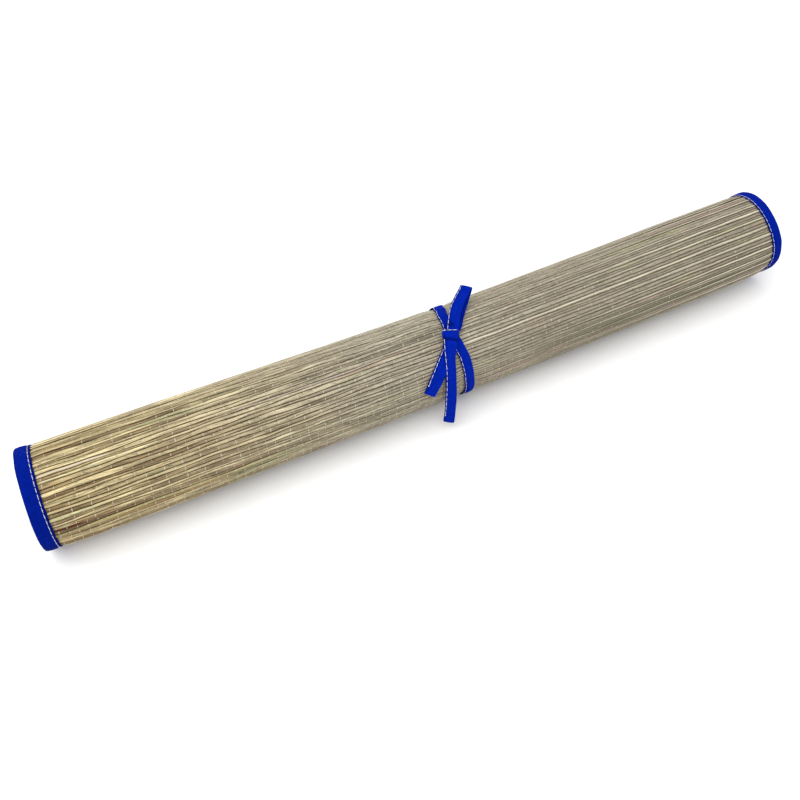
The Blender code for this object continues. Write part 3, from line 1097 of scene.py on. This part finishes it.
def make_warp(name, edges, pitch, thick):
    """The weaving threads where they pass over every second reed, as short arches."""
    base = rod("thread", 4, (4,))
    each = len(base.data.vertices)
    count = int((REED_END - REED_START - 2.0 * UNDER_BINDING) / (2.0 * pitch))
    apart = 2.0
    repeat(base, count, (apart, 0.0, 0.0))
    x, y, z = read_points(base).T
    order = np.arange(len(x)) // each
    across = (x - apart * order) * 2.0 - 1.0
    arch = np.sqrt(np.maximum(0.0, 1.0 - across**2))
    made = []
    for number in range(REEDS):
        chance = random.Random(WARP_SEED * 1000 + number)
        sunk = draws(chance, *WARP_SINK, count)[order]
        shift = draws(chance, -WARP_SHIFT, WARP_SHIFT, count)[order]
        stout = draws(chance, *WARP_STOUT, count)[order] * thick / 2.0
        first = REED_START + UNDER_BINDING + WARP_FIRST + pitch * (number % 2)
        along = first + order * 2.0 * pitch + shift + across * WARP_SLANT + y * stout
        raised = sunk * arch + WARP_RAISED + z * stout
        raised = raised - WARP_SUNK_RIGHT * between(along, *WARP_RIGHT_SPAN)
        tick = copy_of(base, "thread_%d" % number)
        write_points(tick, Reed(number, edges).lay(along, across * 1.02, arch, raised))
        # Painted shade: each arch is darker towards its ends, where it dips between the reeds
        write_shade(tick, 0.25 + 0.75 * arch)
        write_map(tick, across * 0.0012, y * 0.1)
        made.append(tick)
    bpy.data.objects.remove(base)
    return join(name, made)


def make_core(name):
    """The wound turns under the reeds: a thick tube with a hole through its middle, dark all over with
    painted shade, as it shows only in the gaps between the reeds.
    """
    made = primitive(
        name, bpy.ops.mesh.primitive_cylinder_add, vertices=CORE_SIDES, radius=1.0, depth=1.0,
        rotation=(0.0, math.pi / 2.0, 0.0),
    )
    bpy.ops.object.mode_set(mode="EDIT")
    bpy.ops.mesh.select_mode(type="FACE")
    build = bmesh.from_edit_mesh(made.data)
    for face in build.faces:
        face.select_set(abs(face.normal.x) > 0.9)
    bmesh.update_edit_mesh(made.data)
    hole = 0.5
    bpy.ops.mesh.inset(thickness=1.0 - hole)
    bpy.ops.mesh.bridge_edge_loops()
    cut_lengths(made, CORE_LENGTHS)
    bpy.ops.object.mode_set(mode="OBJECT")
    x, y, z = read_points(made).T
    along = REED_START + (REED_END - REED_START) * (x + 0.5)
    angles = on_outer_turn(np.degrees(np.arctan2(z, -y)) + 0.01) - 0.01
    in_hole = np.hypot(y, z) < (1.0 + hole) / 2.0
    lift = np.where(in_hole, CORE_HOLE - wound_radius(angles), -CORE_DEPTH)
    write_points(made, lay_on_roll(along, angles, lift))
    write_shade(made, np.full_like(x, 0.05))
    write_number(made, "tone_and_shade", np.full_like(x, 0.5))
    write_stain_and_shade(made, np.zeros((len(x), 3)), np.zeros_like(x))
    write_map(made, along, 0.5 + np.floor((angles - OUTER_TURN_START) / CORE_REED_ANGLE))
    return made


# The bound edges


def binding_section(width, stitch, shade):
    """Corners round the folded cloth and the mat in it, from the sewn edge over the fold and back, each
    with its painted shade, darkest along the sewn edge, at the fold and inside.
    """
    return (
        Corner(width, -0.00100, 0.02),
        Corner(width + 0.00010, SEAM_LIFT - 0.00022, 0.02),
        Corner(width - 0.00035, SEAM_LIFT - 0.00002, 0.04),
        Corner(width - stitch + 0.00045, SEAM_LIFT + 0.00002, 0.18),
        Corner(width - stitch, SEAM_LIFT - 0.00012, shade - 0.15),
        Corner(width - stitch - 0.0006, SEAM_LIFT + 0.00012, shade - 0.02),
        Corner(width * 0.62, CLOTH_PROUD - 0.00010, shade),
        Corner(width * 0.35, CLOTH_PROUD + 0.00005, shade),
        Corner(0.0014, CLOTH_PROUD, shade),
        Corner(0.0005, CLOTH_PROUD - 0.00030, shade - 0.04),
        Corner(0.0, -0.00040, shade - 0.10),
        Corner(0.0004, -0.00110, 0.50),
        Corner(0.0013, -0.00140, 0.30),
        Corner(width * 0.5, -0.00150, 0.05),
        Corner(width, -0.00150, 0.02),
        Corner(width, -0.00105, 0.02),
    )


def make_binding(name, side, width, stitch, shade, painted_round_shade, seed):
    """A bound edge, wound with the mat: one strip of folded cloth in a spiral, darker below with painted
    shade.
    """
    section = np.array(binding_section(width, stitch, shade))
    made = rod(name, len(section), (26, 28))
    share, y, z = read_points(made).T
    corners = np.round(np.degrees(np.arctan2(z, y)) * len(section) / 360.0).astype(int) % len(section)
    inset, lift, shade = section[corners].T
    inner_turns = 360.0 * (TURNS - 1)
    angles = OUTER_TURN_START + np.where(
        share > 1.0 - OUTER_TURN_CUTS,
        (share - 1.0 + OUTER_TURN_CUTS) / OUTER_TURN_CUTS * 360.0,
        share / (1.0 - OUTER_TURN_CUTS) * inner_turns - inner_turns,
    )
    chance = random.Random(seed)
    arc = np.radians(angles) * END_RADIUS

    # The fold is uneven, and the inner turns stand further in than the outer one
    fold = between(inset, BINDING_FOLD_REACH, 0.0)
    dish = END_DISH * (1.0 - wound_radius(angles) / END_RADIUS) ** 2
    dish = dish * np.where(END_ANGLE - angles >= 360.0, 1.0, 0.2)
    long_wave, short_wave = BINDING_RIPPLE_ANGLES
    uneven = ripple(chance, angles, long_wave, BINDING_RIPPLE)
    uneven = uneven + ripple(chance, angles, short_wave, BINDING_RIPPLE * 0.5)
    inset = inset + fold * (dish + uneven)

    # The cloth puckers at the stitches and its sewn edge runs a little unevenly
    outside = lift > 0.0
    sewn = between(np.abs(width - stitch * 0.7 - inset), BINDING_SEWN_REACH, 0.0) * outside
    edge = between(np.abs(width - inset), BINDING_EDGE_REACH, 0.0)
    lift = lift + sewn * np.cos(math.tau * arc / BINDING_PUCKER_LENGTH) * BINDING_PUCKER
    lift = lift + ripple(chance, arc, *BINDING_CLOTH_WAVE) * outside
    inset = inset + edge * ripple(chance, arc, *BINDING_EDGE_WAVE)
    write_points(made, lay_on_roll(side * (MAT_WIDTH / 2.0 - inset), angles, lift))
    facing = (angles + 180.0) % 360.0 - 180.0
    write_shade(made, shade + painted_round_shade * spread_along(PAINTED_BINDING_SHADE, facing))
    write_map(made, arc, inset)
    pick(made)
    bpy.ops.object.mode_set(mode="EDIT")
    bpy.ops.mesh.select_all(action="SELECT")
    bpy.ops.mesh.normals_make_consistent(inside=False)
    bpy.ops.object.mode_set(mode="OBJECT")
    return made


# The band, knot and loop


def band_ribbon():
    """The tape round the roll, from under the knot down the front, under and up the back."""
    angles = on_outer_turn(KNOT_ANGLE - np.linspace(0.0, 360.0, BAND_STEPS + 1))
    along = band_along(angles)

    # Past the mat's free end the tape spans the step down to the turn below
    low = wound_radius(OUTER_TURN_START + 1.0)
    reach = math.degrees(math.acos(low / END_RADIUS))
    past = (angles - END_ANGLE) % 360.0
    spanned = low / np.cos(np.radians(np.clip(reach - past, 0.0, reach)))
    radius = wound_radius(angles)
    radius = np.where(past < reach, np.maximum(radius, spanned), radius)
    bed = radius - waist(along) - GROOVE + GAP + TAPE_THICK / 2.0
    centres = middle(along) + outward(angles) * bed[:, None]
    centres[:, 2] = np.maximum(centres[:, 2], BAND_FLOOR + TAPE_THICK / 2.0)
    return Ribbon(centres, np.tile([1.0, 0.0, 0.0], (len(angles), 1)), outward(angles))


def knot_frame():
    """The knot's middle, its two directions on the roll and its direction outward."""
    out = Vector(outward(KNOT_ANGLE))
    along = Matrix.Rotation(math.radians(KNOT_TURN), 3, out) @ Vector((1.0, 0.0, 0.0))
    across = out.cross(along)
    lift = wound_radius(KNOT_ANGLE) - waist(KNOT_ALONG) - GROOVE + KNOT_LIFT
    return Vector(middle(KNOT_ALONG)) + out * lift, along, across, out


def knot_ribbon():
    """The tape's short wrap round the band, the loop and the free ends."""
    centre, along, across, out = knot_frame()
    wide = KNOT_LONG / 2.0 - TAPE_THICK / 2.0
    high = KNOT_HIGH / 2.0 - TAPE_THICK / 2.0
    centres = []
    ups = []
    for step in range(KNOT_STEPS + 1):
        a = math.radians(270.0 - 360.0 * step / KNOT_STEPS)
        x = squared_off(math.cos(a), KNOT_SIDE_POWER) * wide
        z = squared_off(math.sin(a), KNOT_FACE_POWER) * high
        centres.append(centre + along * x + out * z)
        ups.append((along * (math.cos(a) * high) + out * (math.sin(a) * wide)).normalized())
    return Ribbon(centres, [across] * len(centres), ups)


def loop_ribbon(steps=14):
    """The half bow's loop: out from the knot, round a tight fold and back on top."""
    foot = Vector(place_of(LOOP_FOOT))
    tip = Vector(place_of(LOOP_TIP))
    run = (tip - foot).normalized()
    length = (tip - foot).length
    side = (LOOP_TIP_SIDE - run * LOOP_TIP_SIDE.dot(run)).normalized()
    up = side.cross(run)
    rows = []
    shares = [k / steps for k in range(steps)]
    for direction, layer, order in ((-1.0, LOOP_BACK, shares), (1.0, LOOP_FRONT, shares[::-1])):
        for share in order:
            rise = LOOP_NECK + (LOOP_FOLD - LOOP_NECK) * share
            rise += LOOP_OPEN * math.sin(math.pi * share) ** LOOP_PLUMP
            turn = math.radians(direction * LOOP_TWIST * (1.0 - share) ** 3)
            twist = Matrix.Rotation(turn, 3, run)
            beside = side * float(spread_along(layer, share))
            centre = foot + run * (share * length) + up * (direction * rise) + beside
            rows.append((centre, twist @ side, twist @ up * direction))
        if direction < 0.0:
            for turn in range(-90, 91, 20):
                a = math.radians(turn)
                out = run * math.cos(a) + up * math.sin(a)
                rows.append((tip + out * LOOP_FOLD + side * LOOP_FRONT[-1][1], side, out))
    return Ribbon(*zip(*rows))


# The settings


class ReedMatWeave(bpy.types.PropertyGroup):
    """How the mat is woven."""

    warp_pitch: FloatProperty(
        name="Thread pitch", description="Distance between neighbouring weaving threads",
        default=WARP_PITCH, min=0.003, max=0.02, unit="LENGTH",
    )
    warp_thick: FloatProperty(
        name="Thread thickness", description="Thickness of the weaving threads",
        default=WARP_THICK, min=0.0002, max=0.001, unit="LENGTH",
    )
    warp_colour: FloatVectorProperty(
        name="Thread colour", description="Colour of the weaving threads",
        default=(0.60, 0.54, 0.41), size=3, min=0.0, max=1.0, subtype="COLOR",
    )


class ReedMatCloth(bpy.types.PropertyGroup):
    """The bound edges and the tie."""

    blue: FloatVectorProperty(
        name="Cotton colour", description="Colour of the binding and the tie",
        default=(0.0006, 0.0125, 0.275), size=3, min=0.0, max=1.0, subtype="COLOR",
    )
    sewing_colour: FloatVectorProperty(
        name="Sewing colour", description="Colour of the sewing thread",
        default=(0.80, 0.80, 0.80), size=3, min=0.0, max=1.0, subtype="COLOR",
    )
    edge_stitch: FloatProperty(
        name="Edge stitch", description="Length of one stitch on the bound edges",
        default=0.0045, min=0.002, max=0.01, unit="LENGTH",
    )
    tape_stitch: FloatProperty(
        name="Tape stitch", description="Length of one stitch on the tie's tape",
        default=0.0042, min=0.0015, max=0.01, unit="LENGTH",
    )
    sewing_thick: FloatProperty(
        name="Sewing thickness", description="Thickness of the sewing thread",
        default=0.00034, min=0.0002, max=0.001, unit="LENGTH",
    )


class ReedMatStage(bpy.types.PropertyGroup):
    """The floor, the light and the camera."""

    floor_colour: FloatVectorProperty(
        name="Floor colour", description="Colour of the plain floor",
        default=(0.88, 0.88, 0.88), size=3, min=0.0, max=1.0, subtype="COLOR",
    )
    surround: FloatProperty(
        name="Surrounding light", description="Strength of the even light from all round",
        default=1.06, min=0.0, max=3.0,
    )
    key_power: FloatProperty(
        name="Key light", description="Power of the large soft light above",
        default=19.5, min=0.0, max=500.0, unit="POWER",
    )
    fill_power: FloatProperty(
        name="Front light", description="Power of the weaker soft light in front",
        default=4.0, min=0.0, max=500.0, unit="POWER",
    )
    lens: FloatProperty(
        name="Lens", description="Focal length of the camera, in millimetres",
        default=CAMERA_LENS, min=10.0, max=200.0, unit="CAMERA",
    )


# The operators


class REED_MAT_OT_free_ends(bpy.types.Operator):
    bl_idname = "reed_mat.free_ends"
    bl_label = "Free Ends"

    def execute(self, context):
        long_line = long_ribbon()
        short_line = short_ribbon()
        width = TAPE_WIDTH
        long_end = tape("long_end", long_line, (8, 10), -1.0, width, LONG_FLARE, 31, under_knot=True)
        short_end = tape("short_end", short_line, (6, 9), -1.0, width, SHORT_FLARE, 32, under_knot=True)
        finish_piece(long_end, blue_cotton(context), "tie_tail_long")
        finish_piece(short_end, blue_cotton(context), "tie_tail_short")
        return {"FINISHED"}


class REED_MAT_OT_reeds(bpy.types.Operator):
    """Weave the reeds of the mat's outer turn and the wound turns under them"""

    bl_idname = "reed_mat.reeds"
    bl_label = "Reeds"

    def execute(self, context):
        edges = reed_edges()
        first, last = (int(found) for found in np.searchsorted(edges, FRONT_ANGLES))
        for name, numbers in (
            ("reeds_front", range(first, last)),
            ("reeds_back", [*range(first), *range(last, REEDS)]),
        ):
            finish_piece(make_reeds(name, numbers, edges), dry_reed(), "mat_roll")
        finish_piece(make_core("wound_core"), dry_reed(), "mat_roll")
        return {"FINISHED"}


class REED_MAT_OT_threads(bpy.types.Operator):
    """Weave the thin threads over the reeds"""

    bl_idname = "reed_mat.threads"
    bl_label = "Weaving Threads"

    def execute(self, context):
        weave = context.scene.reed_mat_weave
        made = make_warp("weaving_threads", reed_edges(), weave.warp_pitch, weave.warp_thick)
        cream = material_named("cream_thread", thread_material, weave.warp_colour)
        finish_piece(made, cream, "mat_roll")
        return {"FINISHED"}


class REED_MAT_OT_bound_edges(bpy.types.Operator):
    """Bind both ends of the roll and sew the binding down"""

    bl_idname = "reed_mat.bound_edges"
    bl_label = "Bound Edges"

    def execute(self, context):
        cloth = context.scene.reed_mat_cloth
        for name, node, side, width, stitch, shade, painted_round_shade, seed in (
            ("left_bound_edge", "binding_left", -1.0, BINDING_LEFT, LEFT_STITCH, 0.48, 1.0, 41),
            ("right_bound_edge", "binding_right", 1.0, BINDING_RIGHT, RIGHT_STITCH, 0.62, 0.35, 42),
        ):
            made = make_binding(name, side, width, stitch, shade, painted_round_shade, seed)
            finish_piece(made, blue_cotton(context), node)
            line = RollEdge(side * (MAT_WIDTH / 2.0 - width + stitch))
            rows = stitches(
                name + "_sewing", line, 0.0, SEAM_LIFT + EDGE_SEWING_LIFT, 0.0, line.length,
                cloth.edge_stitch, cloth.sewing_thick, seed,
            )
            finish_piece(rows, white_sewing(context), node)
        return {"FINISHED"}


class REED_MAT_OT_tie(bpy.types.Operator):
    """Tie the tape round the roll, with its knot and its one loop"""

    bl_idname = "reed_mat.tie"
    bl_label = "Tie"

    def execute(self, context):
        for name, line, lengths, stitched, width, crease, floor_shade, seed in (
            ("band", band_ribbon(), (10, 12), -1.0, TAPE_WIDTH, 0.0, 0.4, 51),
            ("knot", knot_ribbon(), (6, 8), 1.0, KNOT_WIDTH, 0.0, 0.0, 52),
            ("loop", loop_ribbon(), (8, 9), -1.0, LOOP_WIDTH, 0.0012, 0.0, 53),
        ):
            made = tape(name, line, lengths, stitched, width, PLAIN, seed, crease=crease, floor_shade=floor_shade)
            finish_piece(made, blue_cotton(context), "tie")
        return {"FINISHED"}


class REED_MAT_OT_tape_sewing(bpy.types.Operator):
    """Sew the doubled edge of the tie's tape with white thread"""

    bl_idname = "reed_mat.tape_sewing"
    bl_label = "Tape Sewing"

    def execute(self, context):
        cloth = context.scene.reed_mat_cloth
        half = TAPE_WIDTH / 2.0
        top = TAPE_THICK / 2.0 + SEWING_LIFT
        rows = []
        for name, line, side, start, left_bare, flare, knotted, seed in (
            ("band_row", band_ribbon(), -half * 0.80, 0.004, 0.003, PLAIN, False, 61),
            ("knot_row", knot_ribbon(), KNOT_WIDTH / 2.0 * 0.88, 0.006, 0.004, PLAIN, False, 62),
            ("loop_row", loop_ribbon(), -LOOP_WIDTH / 2.0 * 0.86, 0.002, 0.001, LOOP_ROW, False, 63),
            ("long_row", long_ribbon(), -half * 0.76, 0.003, 0.0032, LONG_ROW, True, 64),
            ("short_row", short_ribbon(), -half * 0.80, 0.003, 0.0024, SHORT_FLARE, True, 65),
        ):
            rows.append(stitches(
                name, line, side, top, start, line.length - left_bare, cloth.tape_stitch,
                cloth.sewing_thick, seed, flare, knotted,
            ))
        finish_piece(join("tape_sewing", rows), white_sewing(context), "tie")
        return {"FINISHED"}


class REED_MAT_OT_stage(bpy.types.Operator):
    """Set the floor, the soft light and the camera"""

    bl_idname = "reed_mat.stage"
    bl_label = "Floor, Light and Camera"

    def execute(self, context):
        stage = context.scene.reed_mat_stage
        floor = primitive("floor", bpy.ops.mesh.primitive_plane_add, size=FLOOR_SIZE)
        floor.data.materials.append(material_named("pale_floor", floor_material, stage.floor_colour))
        world = bpy.data.worlds.new("soft_surround")
        world.use_nodes = True
        background = world.node_tree.nodes["Background"]
        background.inputs["Color"].default_value = WHITE
        background.inputs["Strength"].default_value = stage.surround
        context.scene.world = world
        for name, place, power in (
            ("key_light", KEY_PLACE, stage.key_power),
            ("front_light", FRONT_PLACE, stage.fill_power),
        ):
            bpy.ops.object.light_add(type="AREA", location=place)
            light = context.object
            light.name = name
            light.data.shape = "DISK"
            light.data.size = LIGHT_SIZE
            light.data.energy = power
            light.rotation_euler = (-light.location).to_track_quat("-Z", "Y").to_euler()
        bpy.ops.object.camera_add(
            location=CAMERA_PLACE,
            rotation=(math.radians(90.0 - CAMERA_DOWN), 0.0, math.radians(-CAMERA_AZIMUTH)),
        )
        camera = context.object
        camera.name = "camera"
        camera.data.lens = stage.lens
        camera.data.sensor_width = SENSOR_WIDTH
        camera.data.clip_start = CLIP_START
        context.scene.camera = camera
        context.scene.view_settings.view_transform = "Standard"
        context.scene.view_settings.look = "None"
        return {"FINISHED"}


OPERATORS = (
    REED_MAT_OT_stage,
    REED_MAT_OT_free_ends,
    REED_MAT_OT_reeds,
    REED_MAT_OT_threads,
    REED_MAT_OT_bound_edges,
    REED_MAT_OT_tie,
    REED_MAT_OT_tape_sewing,
)


class VIEW3D_PT_reed_mat(bpy.types.Panel):
    """The steps that dress the roll, and their settings."""

    bl_label = "Rolled Reed Mat"
    bl_idname = "VIEW3D_PT_reed_mat"
    bl_space_type = "VIEW_3D"
    bl_region_type = "UI"
    bl_category = "Reed Mat"

    def draw(self, context):
        column = self.layout.column()
        scene = context.scene
        for group in (scene.reed_mat_weave, scene.reed_mat_cloth, scene.reed_mat_stage):
            for name in group.__annotations__:
                column.prop(group, name)
        for operator in OPERATORS:
            column.operator(operator.bl_idname)


GROUPS = (ReedMatWeave, ReedMatCloth, ReedMatStage)


def register():
    for made in (*GROUPS, *OPERATORS, VIEW3D_PT_reed_mat):
        bpy.utils.register_class(made)
    bpy.types.Scene.reed_mat_weave = PointerProperty(type=ReedMatWeave)
    bpy.types.Scene.reed_mat_cloth = PointerProperty(type=ReedMatCloth)
    bpy.types.Scene.reed_mat_stage = PointerProperty(type=ReedMatStage)


def unregister():
    del bpy.types.Scene.reed_mat_stage
    del bpy.types.Scene.reed_mat_cloth
    del bpy.types.Scene.reed_mat_weave
    for made in (VIEW3D_PT_reed_mat, *reversed(OPERATORS), *reversed(GROUPS)):
        bpy.utils.unregister_class(made)


def main():
    register()
    for operator in OPERATORS:
        group, name = operator.bl_idname.split(".")
        getattr(getattr(bpy.ops, group), name)()


if __name__ == "__main__":
    main()
